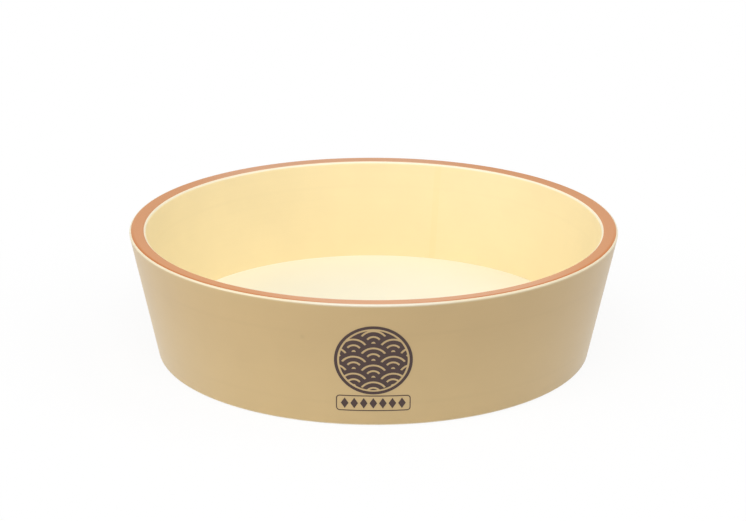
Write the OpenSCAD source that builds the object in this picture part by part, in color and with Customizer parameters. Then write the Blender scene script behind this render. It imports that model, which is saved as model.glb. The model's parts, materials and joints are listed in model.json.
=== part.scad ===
// Round tub for mixing sushi rice, sitting on z = 0 with its printed side towards -Y.
// A leaning wall of foamed board between two plastic skins is cut off flush at the rim,
// so that the brown core shows between them, and a thick round board is wedged in below.

/* [Tub] */
// Diameter over the widest point of the rim
rim_d = 540; // [360:1:720]
// Height from the standing plane to the rim
tub_h = 142.5; // [130:0.5:200]
// Lean of the wall out of the upright, in degrees
wall_lean = 11.8; // [5:0.1:18]

/* [Wall] */
// Thickness of the whole wall, square to its faces
wall_t = 17.5; // [14:0.1:26]
// Thickness of the outer skin
outer_skin_t = 2.2; // [1.2:0.1:3]
// Thickness of the inner skin
inner_skin_t = 1.8; // [1.2:0.1:3]
// Radius of the rim's outer edge
rim_outer_r = 2; // [1:0.5:4]
// Radius of the rim's inner edge, wide and soft for the forearms
rim_inner_r = 5; // [2:0.5:7]
// Radius of both edges of the foot
foot_edge_r = 4; // [3:0.5:5]

/* [Wall joint] */
// Direction of the wall's welded joint, in degrees from +X
joint_angle = 72; // [60:1:120]
// Width of the strips that close the two skins there
joint_w = 8; // [5:0.5:15]

/* [Floor board] */
// Thickness of the floor board
board_t = 20; // [12:0.5:24]
// Height of the board's underside above the standing plane
foot_gap = 10; // [6:0.5:14]
// Bevel round the board's lower edge, where it is driven in
board_bevel = 1.5; // [0.5:0.5:3]

/* [Printed mark] */
// Thickness of the ink
ink_t = 0.2; // [0.1:0.05:0.4]
// Diameter of the round mark
mark_d = 80; // [60:1:85]
// Distance from the rim down to the round mark
mark_drop = 24.5; // [12:0.5:26]
// Width of the ring round the mark
mark_ring_w = 3.2; // [2:0.2:5]
// Clear gap between the ring and the waves
mark_ring_gap = 2; // [1:0.5:4]
// Radius of one wave of the pattern
wave_r = 20; // [15:0.5:26]
// Bands of ink in one wave
wave_bands = 3; // [2:1:3]
// Share of each band that is ink
wave_ink = 0.68; // [0.4:0.02:0.8]

/* [Printed label] */
// Width of the label's outline
label_w = 76.5; // [60:0.5:90]
// Height of the label's outline
label_h = 18.5; // [10:0.5:19]
// Gap between the round mark and the label
label_gap = 1.5; // [1:0.5:4]
// Width of the label's line
label_line = 1; // [0.8:0.1:2]
// Corner radius of the label
label_r = 4; // [3:0.5:5]
// Lozenges in the label
lozenges = 7; // [3:1:9]

/* [Hidden] */
$fn = 180;

lean_tan = tan(wall_lean);
lean_cos = cos(wall_lean);
lean_sin = sin(wall_lean);

// Radius of the outer face, as a sharp cone, at a height
rim_sharp_r = rim_d / 2 - rim_outer_r + rim_outer_r * (1 + lean_sin) / lean_cos;
function outer_face(z) = rim_sharp_r - (tub_h - z) * lean_tan;
// Radius at a height of the cone that lies a depth inside the outer face
function in_wall(depth, z) = outer_face(z) - depth / lean_cos;
function inner_face(z) = in_wall(wall_t, z);

// Centres of the four rounded edges of the wall's section
rim_outer_c = [rim_d / 2 - rim_outer_r, tub_h - rim_outer_r];
rim_inner_c = [inner_face(tub_h - rim_inner_r) + rim_inner_r / lean_cos, tub_h - rim_inner_r];
foot_outer_c = [outer_face(foot_edge_r) - foot_edge_r / lean_cos, foot_edge_r];
foot_inner_c = [inner_face(foot_edge_r) + foot_edge_r / lean_cos, foot_edge_r];
// From a centre, the way to the outer face and to the inner one
to_face = [lean_cos, -lean_sin];

// Past every face of the wall, for the cutting shapes
spare = 20;

mark_z = tub_h - mark_drop - mark_d / 2;
wave_field_r = mark_d / 2 - mark_ring_w - mark_ring_gap;
label_z = mark_z - mark_d / 2 - label_gap - label_h / 2;
lozenge_pitch = (label_w - 2 * label_r) / lozenges;
lozenge_h = label_h - 6 * label_line;

cream = "#FBE9BE";
tan_brown = "#DCC08E";
core_brown = "#D9A47C";
floor_cream = "#FCF4DC";
ink = "#4A403C";

// Section of the whole wall, with its four edges rounded
module wall_section() {
    polygon([
        rim_outer_c + rim_outer_r * to_face,
        rim_outer_c + [0, rim_outer_r],
        rim_inner_c + [0, rim_inner_r],
        rim_inner_c - rim_inner_r * to_face,
        foot_inner_c - foot_edge_r * to_face,
        foot_inner_c - [0, foot_edge_r],
        foot_outer_c - [0, foot_edge_r],
        foot_outer_c + foot_edge_r * to_face
    ]);
    translate(rim_outer_c) circle(rim_outer_r);
    translate(rim_inner_c) circle(rim_inner_r);
    translate(foot_outer_c) circle(foot_edge_r);
    translate(foot_inner_c) circle(foot_edge_r);
}

// Leaning strip between two depths inside the outer face
module wall_strip(from, to, low = -spare, high = tub_h + spare) {
    polygon([
        [in_wall(from, low), low],
        [in_wall(from, high), high],
        [in_wall(to, high), high],
        [in_wall(to, low), low]
    ]);
}

// One layer of the wall, all the way round
module wall_layer(from, to) {
    rotate_extrude() intersection() {
        wall_section();
        wall_strip(from, to);
    }
}

// Upright slot through the wall where the board's two ends are welded
module joint_slot() {
    rotate(joint_angle)
        translate([0, -joint_w / 2, -spare])
            cube([rim_d, joint_w, tub_h + 2 * spare]);
}

module full_outer_skin() wall_layer(-spare, outer_skin_t);
module full_inner_skin() wall_layer(wall_t - inner_skin_t, wall_t + spare);

module wall_core() {
    color(core_brown) wall_layer(outer_skin_t, wall_t - inner_skin_t);
}

module outer_skin() {
    color(tan_brown) difference() {
        full_outer_skin();
        joint_slot();
    }
}

module outer_seam() {
    color(tan_brown) intersection() {
        full_outer_skin();
        joint_slot();
    }
}

module inner_skin() {
    color(cream) difference() {
        full_inner_skin();
        joint_slot();
    }
}

module inner_seam() {
    color(cream) intersection() {
        full_inner_skin();
        joint_slot();
    }
}

// Thick disc with the wall's own taper, so that it wedges tight from above
module base_board() {
    top = foot_gap + board_t;
    color(floor_cream) rotate_extrude() polygon([
        [0, foot_gap],
        [inner_face(foot_gap + board_bevel) - board_bevel, foot_gap],
        [inner_face(foot_gap + board_bevel), foot_gap + board_bevel],
        [inner_face(top), top],
        [0, top]
    ]);
}

module ring(outside, inside) {
    difference() {
        circle(outside);
        circle(inside);
    }
}

// One wave: rings of ink, less what the waves in the two rows in front hide
module wave() {
    band = wave_r / wave_bands;
    difference() {
        for (k = [0 : wave_bands - 1]) ring(wave_r - k * band, wave_r - (k + wave_ink) * band);
        for (side = [-1, 1]) translate([side * wave_r, -wave_r / 2]) circle(wave_r);
        translate([0, -wave_r]) circle(wave_r);
    }
}

// Rows of overlapping waves, clipped to the round field
module wave_field() {
    rows = ceil(mark_d / wave_r) + 1;
    intersection() {
        circle(wave_field_r);
        for (row = [-rows : rows], col = [-2 : 2])
            if (norm([(2 * col + abs(row % 2)) * wave_r, row * wave_r / 2]) < wave_field_r + wave_r)
                translate([(2 * col + abs(row % 2)) * wave_r, row * wave_r / 2]) wave();
    }
}

module rounded_bar(w, h, r) {
    square([w - 2 * r, h], center = true);
    square([w, h - 2 * r], center = true);
    for (x = [-1, 1], y = [-1, 1])
        translate([x * (w / 2 - r), y * (h / 2 - r)]) circle(r);
}

module label() {
    difference() {
        rounded_bar(label_w, label_h, label_r);
        rounded_bar(label_w - 2 * label_line, label_h - 2 * label_line, label_r - label_line);
    }
    for (k = [0 : lozenges - 1])
        translate([(k - (lozenges - 1) / 2) * lozenge_pitch, 0])
            polygon([
                [lozenge_pitch * 0.4, 0],
                [0, lozenge_h / 2],
                [-lozenge_pitch * 0.4, 0],
                [0, -lozenge_h / 2]
            ]);
}

// Print on the outer skin, projected straight from the front
module front_print() {
    color(ink) intersection() {
        rotate_extrude() wall_strip(-ink_t, 0, foot_edge_r, tub_h - rim_outer_r);
        rotate([90, 0, 0]) linear_extrude(rim_d) {
            translate([0, mark_z]) {
                ring(mark_d / 2, mark_d / 2 - mark_ring_w);
                wave_field();
            }
            translate([0, label_z]) label();
        }
    }
}

wall_core();
outer_skin();
outer_seam();
inner_skin();
inner_seam();
base_board();
front_print();
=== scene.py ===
# Dressed model of a round tub for mixing sushi rice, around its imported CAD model.
# It is laid out as an add-on: one operator for each group of pieces, and one for the studio.

import json
import math

import bmesh
import bpy
from bpy.props import FloatProperty, FloatVectorProperty, PointerProperty
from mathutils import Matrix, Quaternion, Vector

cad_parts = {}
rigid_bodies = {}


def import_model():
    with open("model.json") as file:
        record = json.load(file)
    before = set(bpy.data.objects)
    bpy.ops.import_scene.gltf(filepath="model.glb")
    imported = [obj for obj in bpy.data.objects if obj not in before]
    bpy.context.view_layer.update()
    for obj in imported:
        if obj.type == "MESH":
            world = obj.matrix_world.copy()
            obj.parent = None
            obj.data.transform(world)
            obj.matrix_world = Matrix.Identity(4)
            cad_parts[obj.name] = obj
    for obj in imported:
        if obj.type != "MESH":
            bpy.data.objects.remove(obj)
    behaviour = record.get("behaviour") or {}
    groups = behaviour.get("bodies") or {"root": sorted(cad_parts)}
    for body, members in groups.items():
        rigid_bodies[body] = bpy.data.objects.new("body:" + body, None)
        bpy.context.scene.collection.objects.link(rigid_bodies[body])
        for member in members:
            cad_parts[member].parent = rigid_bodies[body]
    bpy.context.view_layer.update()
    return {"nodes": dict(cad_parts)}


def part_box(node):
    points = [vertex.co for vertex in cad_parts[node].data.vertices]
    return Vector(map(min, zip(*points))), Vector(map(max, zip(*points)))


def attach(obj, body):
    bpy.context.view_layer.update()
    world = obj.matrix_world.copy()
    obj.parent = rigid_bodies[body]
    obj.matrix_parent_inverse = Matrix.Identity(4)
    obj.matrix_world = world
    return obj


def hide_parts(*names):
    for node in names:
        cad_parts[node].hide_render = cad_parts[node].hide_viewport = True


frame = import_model()

bl_info = {
    "name": "Rice Tub",
    "version": (1, 0, 0),
    "blender": (4, 5, 0),
    "location": "3D View > Sidebar > Rice Tub",
    "description": "Models and dresses a round tub for mixing sushi rice",
    "category": "Add Mesh",
}

BODY = "root"

MM = 0.001
# Steps of a full turn, and of a rounded edge
TURN_STEPS = 360
ARC_STEPS = 10
# Places that differ by less than this are the same
MERGE = 1e-6
# A corner of the wall's section is found by its place, to within this
NEAR = 0.1 * MM
SMOOTH_ANGLE = math.radians(25)

# Matt grain of both sheets: it is taken as 0.3 mm wide, and drawn wider so that it shows
SHEET_GRAIN = 1.2 * MM
SHEET_BUMP = 0.01 * MM

# Where a Mix node has its factor, its two colours and, among its outputs, the mixed colour
FACTOR, FIRST, SECOND, MIXED = 0, 6, 7, 2
# Most of a noise texture lies between these values
NOISE_LOW, NOISE_HIGH = 0.3, 0.7

# Heights of the faint lines round the wall, like those that clamping hoops leave
OUTER_HOOPS = (27 * MM, 107.5 * MM)
INNER_HOOPS = (113 * MM,)
# Middle of a faint scuff on the outer sheet, left of the print
SCUFF = (-72 * MM, -252 * MM, 102 * MM)

# The picture was taken from low over the rim, with a long lens
CAMERA_PLACE = (-0.00065, -2.4051, 0.8996)
CAMERA_DIP = math.radians(18.404)
CAMERA_ROLL = math.radians(0.136)
SENSOR_WIDTH = 36
# Each light hangs this far, in metres, from the middle of the tub
LIGHT_DISTANCE = 2.6
TUB_MIDDLE = Vector((0, 0, 70 * MM))
FLOOR_RADIUS = 9
FLOOR_SIDES = 96
# Share of the light that the floor's paper gives back
PAPER_SHARE = 0.95
# The floor lies a hair below the foot, so that the two share no face
FLOOR_DROP = 0.2 * MM

outer_low, outer_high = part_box("outer_skin")
board_low, board_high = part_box("base_board")


def linear(hex_colour):
    """Turns an sRGB hex colour into the linear colour that a shader takes."""
    parts = [int(hex_colour[i : i + 2], 16) / 255 for i in (1, 3, 5)]
    return tuple(c / 12.92 if c <= 0.04045 else ((c + 0.055) / 1.055) ** 2.4 for c in parts)


def length(name, description, default):
    """Makes a property that holds a length in metres."""
    return FloatProperty(
        name=name,
        description=description,
        default=default,
        min=0,
        precision=4,
        subtype="DISTANCE",
        unit="LENGTH",
    )


def watts(name, description, default):
    """Makes a property that holds the power of a light."""
    return FloatProperty(
        name=name, description=description, default=default, min=0, unit="POWER"
    )


def colour(name, description, hex_colour):
    """Makes a property that holds a colour, which is given as sRGB hex."""
    return FloatVectorProperty(
        name=name,
        description=description,
        default=linear(hex_colour),
        min=0,
        max=1,
        size=3,
        subtype="COLOR",
    )


class TubSizes(bpy.types.PropertyGroup):
    """Sizes of the tub, as its CAD model has them"""

    rim_diameter: length(
        "Rim diameter",
        "Width over the widest point of the rim",
        round(outer_high.x - outer_low.x, 4),
    )
    height: length("Height", "From the standing plane to the rim", round(outer_high.z, 4))
    wall_lean: FloatProperty(
        name="Wall lean",
        description="Lean of the wall out of the upright",
        default=math.radians(11.8),
        subtype="ANGLE",
        unit="ROTATION",
    )
    wall_thickness: length("Wall thickness", "Whole wall, square to its faces", 17.5 * MM)
    outer_sheet: length("Outer sheet", "Thickness of the outer sheet", 2.2 * MM)
    inner_sheet: length("Inner sheet", "Thickness of the inner sheet", 1.8 * MM)
    rim_outer_radius: length("Rim outer radius", "Radius of the rim's outer edge", 2 * MM)
    rim_inner_radius: length("Rim inner radius", "Radius of the rim's inner edge", 5 * MM)
    foot_radius: length("Foot radius", "Radius of both edges of the foot", 4 * MM)
    joint_angle: FloatProperty(
        name="Joint direction",
        description="Direction of the wall's welded joint, from +X",
        default=math.radians(72),
        subtype="ANGLE",
        unit="ROTATION",
    )
    joint_width: length("Joint width", "Width of the strips that close the joint", 8 * MM)
    weld_groove: length("Weld groove", "Depth of the hairline beside each strip", 0.05 * MM)
    board_bevel: length("Board bevel", "Bevel round the board's lower edge", 1.5 * MM)
    board_edge: length("Board edge", "Softened edge round the board's top", 0.3 * MM)


class TubColours(bpy.types.PropertyGroup):
    """Colours of the tub's plastics, foam and ink"""

    outer: colour("Outer sheet", "Tan colour layer of the outer sheet", "#C2A571")
    # Painted light: a paler tan towards the foot stands in for light from the floor
    outer_floor_light: colour("Outer foot", "Paler tan towards the foot", "#CAAF7B")
    # Partly the paler plastic under the tan, partly a painted highlight on the rounded edge
    outer_edge: colour("Outer cut edge", "Plastic under the tan, bared at the edge", "#E9DCBA")
    # Painted highlight: the cut edge is whiter at the front
    front_edge_highlight: colour("Front cut edge", "Whiter plastic, bared at the front", "#E7DFCA")
    inner: colour("Inner sheet", "Cream of the inner sheet", "#F8E5B4")
    # Painted highlight: paler cream on the rounded edge, which faces the light
    inner_edge_highlight: colour("Inner cut edge", "Plastic under the cream, bared at the edge", "#F9EFD3")
    foam: colour("Foam", "Brown foamed core", "#D2966A")
    # Painted sheen: the foam's top is paler at the front and the back
    foam_sheen: colour("Pale foam", "Paler foam at the front and the back", "#D8A37F")
    foam_shoulder: colour("Foam shoulder", "Browner foam along the outer sheet", "#C3702B")
    board: colour("Board", "Pale cream of the floor board", "#F6F1DB")
    ink: colour("Ink", "Printed mark", "#432F2B")


class StudioSettings(bpy.types.PropertyGroup):
    """Camera, light and floor of the studio"""

    focal_length: FloatProperty(
        name="Focal length",
        description="Camera's focal length, in millimetres on a 36 mm sensor",
        default=109.554,
        min=20,
        unit="CAMERA",
    )
    ambient: FloatProperty(
        name="Ambient", description="Light from all round the studio", default=0.43, min=0
    )
    key_power: watts("Key light", "Power of the large light high in front", 29.6)
    left_power: watts("Left light", "Power of the low light at the front left", 17)
    right_power: watts("Right light", "Power of the light on the right", 14.5)
    back_power: watts("Back light", "Power of the light behind", 3)
    paper: colour("Paper", "White paper of the floor", "#FFFFFF")


# Modelling helpers


def towards(bearing):
    """Level direction at a bearing in degrees: 0 is the front of the tub, 90 its right."""
    angle = math.radians(bearing)
    return Vector((math.sin(angle), -math.cos(angle), 0))


def wall_radius(sizes, depth, height):
    """Radius, at a height, of the cone that lies a depth inside the wall's outer face."""
    lean, corner = sizes.wall_lean, sizes.rim_outer_radius
    # The rounded edge is widest a little inside the sharp corner of the cone
    rim = sizes.rim_diameter / 2 - corner + corner * (1 + math.sin(lean)) / math.cos(lean)
    return rim - (sizes.height - height) * math.tan(lean) - depth / math.cos(lean)


def edit(piece):
    """Opens one piece in edit mode, with nothing else selected."""
    if bpy.context.mode != "OBJECT":
        bpy.ops.object.mode_set(mode="OBJECT")
    bpy.ops.object.select_all(action="DESELECT")
    bpy.context.view_layer.objects.active = piece
    piece.select_set(True)
    bpy.ops.object.mode_set(mode="EDIT")


def start_piece(name, add, **settings):
    """Adds a primitive, puts its place into its mesh and opens it in edit mode."""
    bpy.ops.object.select_all(action="DESELECT")
    add(**settings)
    piece = bpy.context.object
    piece.name = piece.data.name = name
    bpy.ops.object.transform_apply(location=True, rotation=True, scale=True)
    edit(piece)
    return piece


def centre(part):
    """Middle of a vertex, edge or face of the mesh in edit mode."""
    points = [part.co] if isinstance(part, bmesh.types.BMVert) else [v.co for v in part.verts]
    return sum(points, Vector()) / len(points)


def pick(kind, test):
    """Selects the vertices, edges or faces of the edited mesh whose middle passes a test."""
    bpy.ops.mesh.select_mode(type=kind)
    bpy.ops.mesh.select_all(action="DESELECT")
    mesh = bpy.context.edit_object.data
    shape = bmesh.from_edit_mesh(mesh)
    parts = {"VERT": shape.verts, "EDGE": shape.edges, "FACE": shape.faces}[kind]
    found = [part for part in parts if test(centre(part))]
    if not found:
        raise RuntimeError(f"{mesh.name} has no {kind.lower()} at the place to be worked on")
    for part in found:
        part.select_set(True)
    shape.select_flush(True)
    bmesh.update_edit_mesh(mesh)


def split_off(name, test):
    """Makes the faces whose middle passes a test an object of their own."""
    pick("FACE", test)
    before = set(bpy.data.objects)
    bpy.ops.mesh.separate(type="SELECTED")
    (piece,) = set(bpy.data.objects) - before
    piece.name = piece.data.name = name
    return piece


def draw_wall_section(name, sizes):
    """Draws the leaning section of the whole wall, with its four edges rounded."""
    lean, half = sizes.wall_lean, sizes.height / 2
    middle = Vector((wall_radius(sizes, sizes.wall_thickness / 2, half), 0, half))
    section = start_piece(
        name,
        bpy.ops.mesh.primitive_plane_add,
        size=1,
        rotation=(math.pi / 2, 0, 0),
        location=middle,
    )
    bpy.ops.transform.resize(
        value=(sizes.wall_thickness / math.cos(lean), 1, sizes.height), center_override=middle
    )
    for end in (-1, 1):
        pick("VERT", lambda place: (place.z - half) * end > 0)
        bpy.ops.transform.translate(value=(end * half * math.tan(lean), 0, 0))
    sharp, blunt = math.pi / 2 - lean, math.pi / 2 + lean
    # Each corner has its depth and height, its angle and the radius that rounds it
    corners = (
        (0, sizes.height, sharp, sizes.rim_outer_radius),
        (sizes.wall_thickness, sizes.height, blunt, sizes.rim_inner_radius),
        (0, 0, blunt, sizes.foot_radius),
        (sizes.wall_thickness, 0, sharp, sizes.foot_radius),
    )
    for depth, height, angle, radius in corners:
        corner = Vector((wall_radius(sizes, depth, height), 0, height))
        pick("VERT", lambda place: (place - corner).length < NEAR)
        bpy.ops.mesh.bevel(
            offset=radius / math.tan(angle / 2), segments=ARC_STEPS, affect="VERTICES"
        )
    return section


def turn_wall_layer(name, sizes, from_depth, to_depth):
    """Cuts the wall's section down to one layer and spins it once round into a closed ring."""
    layer = draw_wall_section(name, sizes)
    inward = Vector((-math.cos(sizes.wall_lean), 0, math.sin(sizes.wall_lean)))
    for depth, cut_from in ((from_depth, -inward), (to_depth, inward)):
        bpy.ops.mesh.select_all(action="SELECT")
        bpy.ops.mesh.bisect(
            plane_co=(wall_radius(sizes, depth, 0), 0, 0), plane_no=cut_from, clear_outer=True
        )
    bpy.ops.mesh.select_all(action="SELECT")
    bpy.ops.mesh.delete(type="ONLY_FACE")
    bpy.ops.mesh.select_all(action="SELECT")
    bpy.ops.mesh.spin(
        steps=TURN_STEPS,
        angle=2 * math.pi,
        use_auto_merge=True,
        center=(0, 0, 0),
        axis=(0, 0, 1),
    )
    bpy.ops.mesh.select_all(action="SELECT")
    bpy.ops.mesh.remove_doubles(threshold=MERGE)
    bpy.ops.mesh.normals_make_consistent(inside=False)
    return layer


def finish_piece(piece, node, material):
    """Smooths a piece, gives it its material and lets it stand for its CAD node."""
    bpy.ops.object.mode_set(mode="OBJECT")
    bpy.ops.object.select_all(action="DESELECT")
    bpy.context.view_layer.objects.active = piece
    piece.select_set(True)
    bpy.ops.object.shade_smooth_by_angle(angle=SMOOTH_ANGLE)
    modifier = piece.modifiers.new("Flat faces stay flat", "WEIGHTED_NORMAL")
    modifier.keep_sharp = True
    bpy.ops.object.modifier_apply(modifier=modifier.name)
    piece.data.materials.clear()
    piece.data.materials.append(material)
    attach(piece, BODY)
    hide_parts(node)


# Material helpers


def add_node(material, kind, sockets, **settings):
    """Adds a node with its settings, gives its inputs values or links, and returns its outputs."""
    tree = material.node_tree
    node = tree.nodes.new("ShaderNode" + kind)
    for name, value in settings.items():
        setattr(node, name, value)
    for name, value in sockets.items():
        if isinstance(value, bpy.types.NodeSocket):
            tree.links.new(value, node.inputs[name])
        else:
            node.inputs[name].default_value = value
    return node.outputs


def opaque(rgb, factor=1):
    """A linear colour times a factor, with the alpha that a socket needs."""
    return (*(c * factor for c in rgb), 1)


def tinted(rgb, filter_rgb):
    """A linear colour seen through a filter, with the alpha that a socket needs."""
    return (*(c * share for c, share in zip(rgb, filter_rgb)), 1)


def new_material(name):
    """Makes an empty material and returns it with the place on the piece, in metres."""
    material = bpy.data.materials.new(name)
    material.use_nodes = True
    material.node_tree.nodes.clear()
    return material, add_node(material, "TexCoord", {})["Object"]


def surface(material, base, roughness, bump, bump_depth, **others):
    """Ends a material: its shader, with a bump of a given depth, and its output."""
    normal = add_node(
        material, "Bump", {"Height": bump, "Strength": 1, "Distance": bump_depth}
    )
    sockets = {"Base Color": base, "Roughness": roughness, "Normal": normal[0]}
    sockets.update({name.replace("_", " "): value for name, value in others.items()})
    shader = add_node(material, "BsdfPrincipled", sockets)
    add_node(material, "OutputMaterial", {"Surface": shader[0]})
    return material


def grained_surface(material, place, base, grain, roughness, bump_depth, **others):
    """Ends a material whose matt grain, of a given width, sways its roughness and its bump."""
    fine = add_node(
        material, "TexNoise", {"Vector": place, "Scale": 1 / grain, "Detail": 3}
    )["Fac"]
    swayed = add_node(
        material,
        "MapRange",
        {
            "Value": fine,
            "From Min": NOISE_LOW,
            "From Max": NOISE_HIGH,
            "To Min": roughness[0],
            "To Max": roughness[1],
        },
    )["Result"]
    return surface(material, base, swayed, fine, bump_depth, **others)


def wall_depth(material, place, sizes, from_outside):
    """Depth of a point inside the wall's outer or inner face, as a socket in metres."""
    lean = sizes.wall_lean
    side = 1 if from_outside else -1
    foot = wall_radius(sizes, 0 if from_outside else sizes.wall_thickness, 0)
    flat = add_node(material, "VectorMath", {0: place, 1: (1, 1, 0)}, operation="MULTIPLY")
    radius = add_node(material, "VectorMath", {0: flat[0]}, operation="LENGTH")["Value"]
    height = add_node(material, "SeparateXYZ", {0: place})["Z"]
    inward = add_node(
        material,
        "Math",
        {0: radius, 1: -side * math.cos(lean), 2: side * foot * math.cos(lean)},
        operation="MULTIPLY_ADD",
    )
    return add_node(
        material,
        "Math",
        {0: height, 1: side * math.sin(lean), 2: inward[0]},
        operation="MULTIPLY_ADD",
    )[0]


# Materials


def marked_face(material, place, face, hoops, pressed_tone):
    """Gives a sheet's face its soft patches, its die lines and the lines of its hoops."""
    # Soft patches, as calendering leaves them, and faint lines round the wall, as a die does
    patch_width, line_spacing = 45 * MM, 7 * MM
    patches = add_node(
        material, "TexNoise", {"Vector": place, "Scale": 1 / patch_width, "Detail": 3}
    )["Fac"]
    height = add_node(material, "SeparateXYZ", {0: place})["Z"]
    on_axis = add_node(material, "CombineXYZ", {"Z": height})[0]
    die_lines = add_node(
        material,
        "TexNoise",
        {"Vector": on_axis, "Scale": 1 / line_spacing, "Detail": 3, "Roughness": 0.7},
    )["Fac"]
    marks = add_node(
        material, "Math", {0: die_lines, 1: 0.5, 2: patches}, operation="MULTIPLY_ADD"
    )[0]
    shade = add_node(
        material, "MapRange", {"Value": marks, "From Min": 0.5, "From Max": 1}
    )["Result"]
    # Each hoop's line is soft, and reaches 4 mm to either side of it
    for hoop in hoops:
        away = add_node(
            material, "VectorMath", {0: on_axis, 1: (0, 0, hoop)}, operation="DISTANCE"
        )["Value"]
        pressed = add_node(
            material,
            "MapRange",
            {"Value": away, "From Max": 4 * MM, "To Min": pressed_tone},
            interpolation_type="SMOOTHSTEP",
        )["Result"]
        shade = add_node(material, "Math", {0: shade, 1: pressed}, operation="MULTIPLY")[0]
    tone = add_node(material, "MapRange", {"Value": shade, "To Min": 0.98, "To Max": 1.015})
    return add_node(
        material,
        "Mix",
        {FACTOR: 1, FIRST: face, SECOND: tone["Result"]},
        data_type="RGBA",
        blend_type="MULTIPLY",
    )[MIXED]


def scuffed(material, place, face):
    """Darkens a face a little inside the scuff, which is 8 mm wide."""
    away = add_node(
        material, "VectorMath", {0: place, 1: SCUFF}, operation="DISTANCE"
    )["Value"]
    rubbed = add_node(
        material,
        "MapRange",
        {"Value": away, "From Min": 4 * MM, "From Max": 0},
        interpolation_type="SMOOTHSTEP",
    )["Result"]
    return add_node(
        material,
        "Mix",
        {FACTOR: rubbed, FIRST: face, SECOND: opaque((1, 1, 1), 0.92)},
        data_type="RGBA",
        blend_type="MULTIPLY",
    )[MIXED]


def cut_depth(material, place, sizes, from_outside):
    """How deep the cutter that rounded the wall's edges went into a sheet, in metres."""
    # Its line wanders by three tenths to either side, in bends some 70 mm long
    bend_length, wander = 70 * MM, 0.3
    sway = add_node(material, "TexNoise", {"Vector": place, "Scale": 1 / bend_length})["Fac"]
    swayed = add_node(
        material,
        "MapRange",
        {
            "Value": sway,
            "From Min": NOISE_LOW,
            "From Max": NOISE_HIGH,
            "To Min": 1 - wander,
            "To Max": 1 + wander,
        },
    )["Result"]
    depth = wall_depth(material, place, sizes, from_outside)
    return add_node(material, "Math", {0: depth, 1: swayed}, operation="MULTIPLY")[0]


def feathered_depth(material, place, sizes, depth):
    """Spreads the pale edge colour a little way down the top of the outer face, most right of the
    front.
    """
    rim_radius, feather_height = sizes.rim_diameter / 2, 4 * MM
    # It spreads most 14 degrees right of the front, and less, evenly, all round the rest
    ahead = add_node(
        material, "VectorMath", {0: place, 1: towards(14)}, operation="DOT_PRODUCT"
    )["Value"]
    share = add_node(
        material,
        "MapRange",
        {
            "Value": ahead,
            "From Min": 0.72 * rim_radius,
            "From Max": rim_radius,
            "To Min": 0.13,
            "To Max": 0.23,
        },
        interpolation_type="SMOOTHSTEP",
    )["Result"]
    feather = add_node(
        material,
        "MapRange",
        {
            "Value": add_node(material, "SeparateXYZ", {0: place})["Z"],
            "From Min": sizes.height - feather_height,
            "From Max": sizes.height,
            "To Max": feather_height,
        },
    )["Result"]
    return add_node(
        material, "Math", {0: feather, 1: share, 2: depth}, operation="MULTIPLY_ADD"
    )[0]


def edge_with_highlight(material, face, edge_and_highlight, depth, fade_from, fade_to):
    """Mixes a face toward its edge colour where the cut into it is deep enough; that edge colour
    is a painted highlight, on the outer sheet over the paler plastic under the tan.
    """
    is_cut = add_node(
        material,
        "MapRange",
        {"Value": depth, "From Min": fade_from, "From Max": fade_to},
        interpolation_type="SMOOTHSTEP",
    )["Result"]
    return add_node(
        material, "Mix", {FACTOR: is_cut, FIRST: face, SECOND: edge_and_highlight}, data_type="RGBA"
    )[MIXED]


def outer_polyethylene(name, sizes, colours, yellowing):
    """Extruded polyethylene, glossy satin: its tan layer is cut to pale on a rounded edge, which
    also gets a painted highlight, whitest at the front; painted floor light pales the tan towards
    the foot.
    """
    material, place = new_material(name)
    along = add_node(material, "SeparateXYZ", {0: place})
    # Painted light: the tan grows paler over the lower 105 mm, standing in for light thrown up
    # from the floor
    painted_floor_light = add_node(
        material, "MapRange", {"Value": along["Z"], "From Min": 105 * MM, "From Max": 0}
    )["Result"]
    tan, floor_lit_tan = tinted(colours.outer, yellowing), tinted(colours.outer_floor_light, yellowing)
    face = add_node(
        material, "Mix", {FACTOR: painted_floor_light, FIRST: tan, SECOND: floor_lit_tan}, data_type="RGBA"
    )[MIXED]
    face = marked_face(material, place, face, OUTER_HOOPS, pressed_tone=0.2)
    face = scuffed(material, place, face)
    # Painted highlight: the pale edge is whiter at the front
    front = -sizes.rim_diameter / 2
    front_highlight = add_node(
        material,
        "MapRange",
        {"Value": along["Y"], "From Min": 0.93 * front, "From Max": front},
        interpolation_type="SMOOTHSTEP",
    )["Result"]
    edge_and_highlight = add_node(
        material,
        "Mix",
        {
            FACTOR: front_highlight,
            FIRST: opaque(colours.outer_edge),
            SECOND: opaque(colours.front_edge_highlight),
        },
        data_type="RGBA",
    )[MIXED]
    depth = cut_depth(material, place, sizes, from_outside=True)
    depth = feathered_depth(material, place, sizes, depth)
    # The rounded edge shows the paler plastic under the tan, with a painted highlight on it
    base = edge_with_highlight(material, face, edge_and_highlight, depth, fade_from=0.01 * MM, fade_to=0.9 * MM)
    return grained_surface(
        material,
        place,
        base,
        grain=SHEET_GRAIN,
        roughness=(0.44, 0.52),
        bump_depth=SHEET_BUMP,
        IOR=1.51,
        Coat_Weight=0.6,
        Coat_Roughness=0.35,
    )


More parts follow.
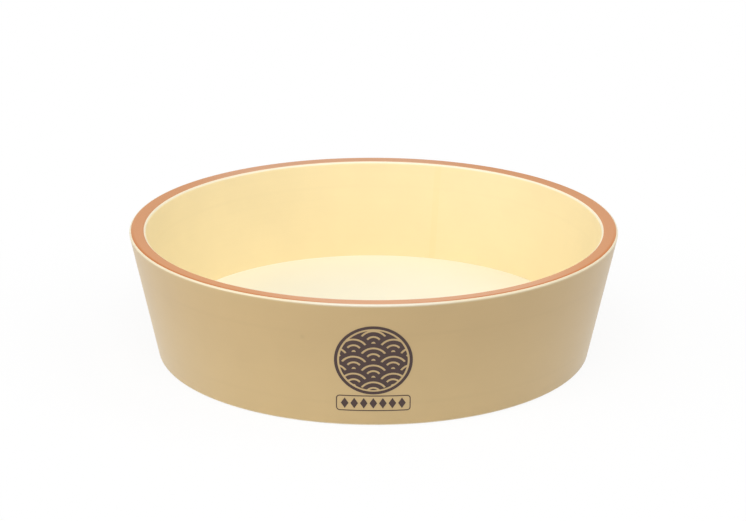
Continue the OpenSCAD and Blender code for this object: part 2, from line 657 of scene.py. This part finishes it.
def inner_polyethylene(name, sizes, colours, yellowing):
    """Extruded polyethylene, soft satin, cream: its rounded edge gets a paler painted highlight.
    """
    material, place = new_material(name)
    cream = tinted(colours.inner, yellowing)
    face = marked_face(material, place, cream, INNER_HOOPS, pressed_tone=0.45)
    depth = cut_depth(material, place, sizes, from_outside=False)
    # Painted highlight on the rounded edge
    edge_and_highlight = opaque(colours.inner_edge_highlight)
    base = edge_with_highlight(material, face, edge_and_highlight, depth, fade_from=0.1 * MM, fade_to=0.5 * MM)
    return grained_surface(
        material,
        place,
        base,
        grain=SHEET_GRAIN,
        roughness=(0.5, 0.58),
        bump_depth=SHEET_BUMP,
        IOR=1.51,
        Coat_Weight=0.2,
        Coat_Roughness=0.5,
    )


def foam_tone_with_sheen(material, place, colours):
    """Tone of the foam round its ring, with a painted sheen that makes it a touch paler at the
    front and the back.
    """
    # The painted sheen is strongest 13 degrees right of the print, and the plain foam shows at the
    # sides square to it
    aside = add_node(
        material, "VectorMath", {0: place, 1: towards(90 + 13)}, operation="DOT_PRODUCT"
    )["Value"]
    off_axis = add_node(material, "Math", {0: aside}, operation="ABSOLUTE")[0]
    at_side = add_node(
        material,
        "MapRange",
        {"Value": off_axis, "From Min": 100 * MM, "From Max": 190 * MM},
        interpolation_type="SMOOTHSTEP",
    )["Result"]
    return add_node(
        material,
        "Mix",
        {FACTOR: at_side, FIRST: opaque(colours.foam_sheen), SECOND: opaque(colours.foam)},
        data_type="RGBA",
    )[MIXED]


def browned(material, place, sizes, colours, depth, tone):
    """Browns the foam along the outer sheet, most at the front corners."""
    shoulder_width = 4.5 * MM
    # Sideways times forwards is at most half the rim's radius squared, at a front corner
    full = -0.4 * (sizes.rim_diameter / 2) ** 2
    along = add_node(material, "SeparateXYZ", {0: place})
    sideways = add_node(material, "Math", {0: along["X"]}, operation="ABSOLUTE")[0]
    corner = add_node(material, "Math", {0: sideways, 1: along["Y"]}, operation="MULTIPLY")[0]
    at_corner = add_node(
        material,
        "MapRange",
        {"Value": corner, "From Min": 0, "From Max": full},
        interpolation_type="SMOOTHSTEP",
    )["Result"]
    shoulder = add_node(
        material,
        "MapRange",
        {
            "Value": depth,
            "From Min": sizes.outer_sheet + shoulder_width,
            "From Max": sizes.outer_sheet,
            "To Max": at_corner,
        },
        interpolation_type="SMOOTHSTEP",
    )["Result"]
    return add_node(
        material,
        "Mix",
        {FACTOR: shoulder, FIRST: tone, SECOND: opaque(colours.foam_shoulder)},
        data_type="RGBA",
    )[MIXED]


def foamed_polyethylene(name, sizes, colours):
    """Brown foamed core, planed across its cells: dull, with fine pores and cutter streaks."""
    material, place = new_material(name)
    depth = wall_depth(material, place, sizes, from_outside=True)
    # Painted sheen pales the foam at the front and the back
    tone = foam_tone_with_sheen(material, place, colours)
    tone = browned(material, place, sizes, colours, depth, tone)
    # The pattern's level places are squeezed, so that each streak runs some 80 mm round the rim
    streak_width, pore_width, squeeze = 0.9 * MM, 0.8 * MM, 0.011
    inward = add_node(material, "CombineXYZ", {"Z": depth})[0]
    stretched = add_node(
        material,
        "VectorMath",
        {0: place, 1: (squeeze, squeeze, 0), 2: inward},
        operation="MULTIPLY_ADD",
    )[0]
    streaks = add_node(
        material, "TexNoise", {"Vector": stretched, "Scale": 1 / streak_width}
    )["Fac"]
    pores = add_node(
        material, "TexNoise", {"Vector": place, "Scale": 1 / pore_width, "Roughness": 0.7}
    )["Fac"]
    # Each pattern darkens the foam, from its first value down to its second
    for pattern, high, low, dark in (
        (pores, 0.5, 0.32, (0.93, 0.92, 0.9)),
        (streaks, NOISE_HIGH, NOISE_LOW, (0.98, 0.977, 0.973)),
    ):
        speckle = add_node(
            material,
            "MapRange",
            {"Value": pattern, "From Min": high, "From Max": low},
            interpolation_type="SMOOTHSTEP",
        )["Result"]
        tone = add_node(
            material,
            "Mix",
            {FACTOR: speckle, FIRST: tone, SECOND: opaque(dark)},
            data_type="RGBA",
            blend_type="MULTIPLY",
        )[MIXED]
    rough = add_node(material, "Math", {0: streaks, 1: pores}, operation="ADD")[0]
    return surface(material, tone, 0.75, rough, 0.04 * MM, IOR=1.45)


def pressed_board(name, colours):
    """Thick pressed polyethylene board with the soft matt face of a cutting board."""
    material, place = new_material(name)
    # Its matt grain is taken as 0.5 mm wide, and drawn wider so that it shows
    patch_width, grain = 60 * MM, 1.5 * MM
    patches = add_node(
        material, "TexNoise", {"Vector": place, "Scale": 1 / patch_width, "Detail": 3}
    )["Fac"]
    shade = add_node(
        material,
        "MapRange",
        {"Value": patches, "From Min": NOISE_LOW, "From Max": NOISE_HIGH},
    )["Result"]
    base = add_node(
        material,
        "Mix",
        {
            FACTOR: shade,
            FIRST: opaque(colours.board, 0.99),
            SECOND: opaque(colours.board, 1.005),
        },
        data_type="RGBA",
    )[MIXED]
    return grained_surface(
        material, place, base, grain, roughness=(0.5, 0.6), bump_depth=0.02 * MM, IOR=1.5
    )


def screen_ink(name, colours):
    """Screen-printed ink: a flat warm near-black film, a little uneven where the mesh lay."""
    material, place = new_material(name)
    # The screen's mesh is taken as 0.2 mm wide, and drawn wider so that it shows
    mesh_width = 1.6 * MM
    mesh = add_node(material, "TexNoise", {"Vector": place, "Scale": 1 / mesh_width})["Fac"]
    film = add_node(
        material, "MapRange", {"Value": mesh, "From Min": NOISE_LOW, "From Max": NOISE_HIGH}
    )["Result"]
    base = add_node(
        material,
        "Mix",
        {FACTOR: film, FIRST: opaque(colours.ink, 0.9), SECOND: opaque(colours.ink, 1.1)},
        data_type="RGBA",
    )[MIXED]
    return surface(material, base, 0.55, film, 0.01 * MM, IOR=1.5)


# Pieces


class TUB_OT_foam_core(bpy.types.Operator):
    """Turn the foamed core that shows between the sheets at the rim and the foot"""

    bl_idname = "rice_tub.foam_core"
    bl_label = "Foam core"
    bl_options = {"REGISTER", "UNDO"}

    def execute(self, context):
        sizes, colours = context.scene.tub_sizes, context.scene.tub_colours
        core = turn_wall_layer(
            "foam_core", sizes, sizes.outer_sheet, sizes.wall_thickness - sizes.inner_sheet
        )
        foam = foamed_polyethylene("Foamed polyethylene", sizes, colours)
        finish_piece(core, "wall_core", foam)
        return {"FINISHED"}


class TUB_OT_sheets(bpy.types.Operator):
    """Turn the two sheets that cover the core, each with its welded strip"""

    bl_idname = "rice_tub.sheets"
    bl_label = "Sheets"
    bl_options = {"REGISTER", "UNDO"}

    def execute(self, context):
        sizes, colours = context.scene.tub_sizes, context.scene.tub_colours
        whole = sizes.wall_thickness
        # Each layer reaches past the wall's own face, so that only its other side is cut
        outer, inner = (-whole, sizes.outer_sheet), (whole - sizes.inner_sheet, 2 * whole)
        self.make_side("outer", outer_polyethylene, sizes, colours, *outer)
        self.make_side("inner", inner_polyethylene, sizes, colours, *inner)
        return {"FINISHED"}

    def make_side(self, side, plastic, sizes, colours, from_depth, to_depth):
        """Makes one sheet with its strip, and gives both their plastic."""
        sheet = turn_wall_layer(f"{side}_sheet", sizes, from_depth, to_depth)
        strip = self.cut_strip(sheet, f"{side}_weld_strip", sizes)
        # The strip is a touch yellower than the sheet, as a weld's heat would make it
        for piece, node, yellowing in (
            (sheet, "skin", (1, 1, 1)),
            (strip, "seam", (1, 0.985, 0.95)),
        ):
            title = f"Extruded polyethylene, {piece.name.replace('_', ' ')}"
            material = plastic(title, sizes, colours, yellowing)
            finish_piece(piece, f"{side}_{node}", material)

    def cut_strip(self, sheet, name, sizes):
        """Cuts the strip out of a sheet, closes both pieces and eases their edges."""
        angle, half = sizes.joint_angle, sizes.joint_width / 2
        along = Vector((math.cos(angle), math.sin(angle), 0))
        across = Vector((-math.sin(angle), math.cos(angle), 0))

        def near_joint(place, reach):
            return place.dot(along) > 0 and abs(place.dot(across)) < reach

        # Only the wall near the joint is cut, and not the far side of the ring
        edit(sheet)
        for edge in (-half, half):
            pick("FACE", lambda place: near_joint(place, 4 * half))
            bpy.ops.mesh.bisect(plane_co=across * edge, plane_no=across)
        strip = split_off(name, lambda place: near_joint(place, half))
        for piece in (sheet, strip):
            edit(piece)
            bpy.ops.mesh.select_all(action="SELECT")
            bpy.ops.mesh.fill_holes(sides=0)
            pick(
                "EDGE",
                lambda place: near_joint(place, half + MERGE)
                and not near_joint(place, half - MERGE),
            )
            bpy.ops.mesh.bevel(offset=sizes.weld_groove, segments=1, affect="EDGES")
            bpy.ops.mesh.select_all(action="SELECT")
            bpy.ops.mesh.normals_make_consistent(inside=False)
        return strip


class TUB_OT_floor_board(bpy.types.Operator):
    """Turn the thick floor board that is wedged into the wall"""

    bl_idname = "rice_tub.floor_board"
    bl_label = "Floor board"
    bl_options = {"REGISTER", "UNDO"}

    def execute(self, context):
        sizes, colours = context.scene.tub_sizes, context.scene.tub_colours
        bottom, top = board_low.z, board_high.z
        board = start_piece(
            "floor_board",
            bpy.ops.mesh.primitive_cone_add,
            vertices=TURN_STEPS,
            radius1=wall_radius(sizes, sizes.wall_thickness, bottom),
            radius2=wall_radius(sizes, sizes.wall_thickness, top),
            depth=top - bottom,
            location=(0, 0, (bottom + top) / 2),
        )
        for height, width, steps in ((bottom, sizes.board_bevel, 1), (top, sizes.board_edge, 3)):
            pick("EDGE", lambda place: abs(place.z - height) < MERGE)
            bpy.ops.mesh.bevel(offset=width, segments=steps, affect="EDGES")
        # A ring of faces inside the edge lets each flat face keep its even shading
        for height in (bottom, top):
            pick("FACE", lambda place: abs(place.z - height) < MERGE)
            bpy.ops.mesh.inset(thickness=6 * MM)
        finish_piece(board, "base_board", pressed_board("Pressed board", colours))
        return {"FINISHED"}


class TUB_OT_front_print(bpy.types.Operator):
    """Ink the printed wave roundel and label on the front of the tub"""

    bl_idname = "rice_tub.front_print"
    bl_label = "Front print"
    bl_options = {"REGISTER", "UNDO"}

    def execute(self, context):
        ink = screen_ink("Screen ink", context.scene.tub_colours)
        for slot in frame["nodes"]["front_print"].material_slots:
            slot.material = ink
        return {"FINISHED"}


class TUB_OT_studio(bpy.types.Operator):
    """Set up the pale floor, the soft lights, the world and the camera"""

    bl_idname = "rice_tub.studio"
    bl_label = "Studio"
    bl_options = {"REGISTER", "UNDO"}

    def execute(self, context):
        studio = context.scene.tub_studio
        self.lay_floor(studio.paper)
        for name, power, width, bearing, elevation in (
            ("key_light", studio.key_power, 1.8, -10, 58),
            ("left_light", studio.left_power, 1.5, -65, 18),
            ("right_light", studio.right_power, 1.8, 80, 52),
            ("back_light", studio.back_power, 1.8, 180, 42),
        ):
            self.hang_light(name, power, width, bearing, elevation)
        self.make_world(context.scene, studio.ambient)
        self.place_camera(context.scene, studio)
        context.scene.view_settings.view_transform = "Standard"
        return {"FINISHED"}

    def seen_ray(self, material):
        """1 for camera, glossy and transmission rays, which see the white of the studio."""
        path = add_node(material, "LightPath", {})
        seen = path["Is Camera Ray"]
        for name in ("Is Glossy Ray", "Is Transmission Ray"):
            seen = add_node(
                material, "Math", {0: seen, 1: path[name]}, operation="MAXIMUM"
            )[0]
        return seen

    def lay_floor(self, paper_colour):
        """Lays a wide round floor of white paper under the tub."""
        floor = start_piece(
            "studio_floor",
            bpy.ops.mesh.primitive_circle_add,
            vertices=FLOOR_SIDES,
            radius=FLOOR_RADIUS,
            fill_type="NGON",
            location=(0, 0, -FLOOR_DROP),
        )
        bpy.ops.object.mode_set(mode="OBJECT")
        paper = bpy.data.materials.new("White paper")
        paper.use_nodes = True
        paper.node_tree.nodes.clear()
        place = add_node(paper, "TexCoord", {})["Object"]
        away = add_node(paper, "VectorMath", {0: place}, operation="LENGTH")["Value"]
        # Close to the tub the paper still shows its shadow; from 0.6 m out it is plain white
        white = add_node(
            paper,
            "MapRange",
            {"Value": away, "From Min": 0.3, "From Max": 0.6, "To Min": 0.9},
            interpolation_type="SMOOTHSTEP",
        )["Result"]
        seen = self.seen_ray(paper)
        share = add_node(paper, "Math", {0: seen, 1: white}, operation="MULTIPLY")[0]
        matt = add_node(paper, "BsdfDiffuse", {"Color": opaque(paper_colour, PAPER_SHARE)})
        glow = add_node(paper, "Emission", {"Color": opaque(paper_colour), "Strength": 1})
        both = add_node(paper, "MixShader", {0: share, 1: matt[0], 2: glow[0]})
        add_node(paper, "OutputMaterial", {"Surface": both[0]})
        floor.data.materials.append(paper)

    def hang_light(self, name, power, width, bearing, elevation):
        """Hangs a round soft light at a bearing and an elevation, aimed at the tub's middle."""
        up = math.radians(elevation)
        beam = math.cos(up) * towards(bearing) + Vector((0, 0, math.sin(up)))
        bpy.ops.object.light_add(type="AREA", location=TUB_MIDDLE + LIGHT_DISTANCE * beam)
        light = bpy.context.object
        light.name = light.data.name = name
        light.data.energy = power
        light.data.shape = "DISK"
        light.data.size = width
        light.rotation_euler = (-beam).to_track_quat("-Z", "Y").to_euler()

    def make_world(self, scene, ambient):
        """Makes a world that lights the tub evenly, and looks white."""
        world = bpy.data.worlds.new("Studio world")
        world.use_nodes = True
        world.node_tree.nodes.clear()
        seen = self.seen_ray(world)
        strength = add_node(world, "MapRange", {"Value": seen, "To Min": ambient})["Result"]
        glow = add_node(world, "Background", {"Color": (1, 1, 1, 1), "Strength": strength})
        add_node(world, "OutputWorld", {"Surface": glow[0]})
        scene.world = world

    def place_camera(self, scene, studio):
        """Puts the camera where the picture was taken."""
        bpy.ops.object.camera_add(location=CAMERA_PLACE)
        camera = bpy.context.object
        camera.name = "camera"
        camera.data.sensor_width = SENSOR_WIDTH
        camera.data.lens = studio.focal_length
        camera.rotation_mode = "QUATERNION"
        tilt = Quaternion((1, 0, 0), math.pi / 2 - CAMERA_DIP)
        roll = Quaternion((0, 0, 1), CAMERA_ROLL)
        camera.rotation_quaternion = tilt @ roll
        scene.camera = camera


class TUB_PT_sidebar(bpy.types.Panel):
    """Sizes, colours and steps of the tub"""

    bl_idname = "TUB_PT_sidebar"
    bl_label = "Rice Tub"
    bl_space_type = "VIEW_3D"
    bl_region_type = "UI"
    bl_category = "Rice Tub"

    def draw(self, context):
        scene = context.scene
        for group in (scene.tub_sizes, scene.tub_colours, scene.tub_studio):
            column = self.layout.column(align=True)
            for name in group.__annotations__:
                column.prop(group, name)
        column = self.layout.column(align=True)
        for operator in OPERATORS:
            column.operator(operator.bl_idname)


OPERATORS = (
    TUB_OT_foam_core,
    TUB_OT_sheets,
    TUB_OT_floor_board,
    TUB_OT_front_print,
    TUB_OT_studio,
)
GROUPS = {"tub_sizes": TubSizes, "tub_colours": TubColours, "tub_studio": StudioSettings}


def register():
    """Registers the classes, and gives each scene the tub's settings."""
    for made in (*GROUPS.values(), *OPERATORS, TUB_PT_sidebar):
        bpy.utils.register_class(made)
    for name, group in GROUPS.items():
        setattr(bpy.types.Scene, name, PointerProperty(type=group))


def unregister():
    """Takes the settings and the classes away again."""
    for name in GROUPS:
        delattr(bpy.types.Scene, name)
    for made in reversed((*GROUPS.values(), *OPERATORS, TUB_PT_sidebar)):
        bpy.utils.unregister_class(made)


def main():
    """Builds the tub and its studio."""
    register()
    bpy.ops.rice_tub.foam_core()
    bpy.ops.rice_tub.sheets()
    bpy.ops.rice_tub.floor_board()
    bpy.ops.rice_tub.front_print()
    bpy.ops.rice_tub.studio()


if __name__ == "__main__":
    main()
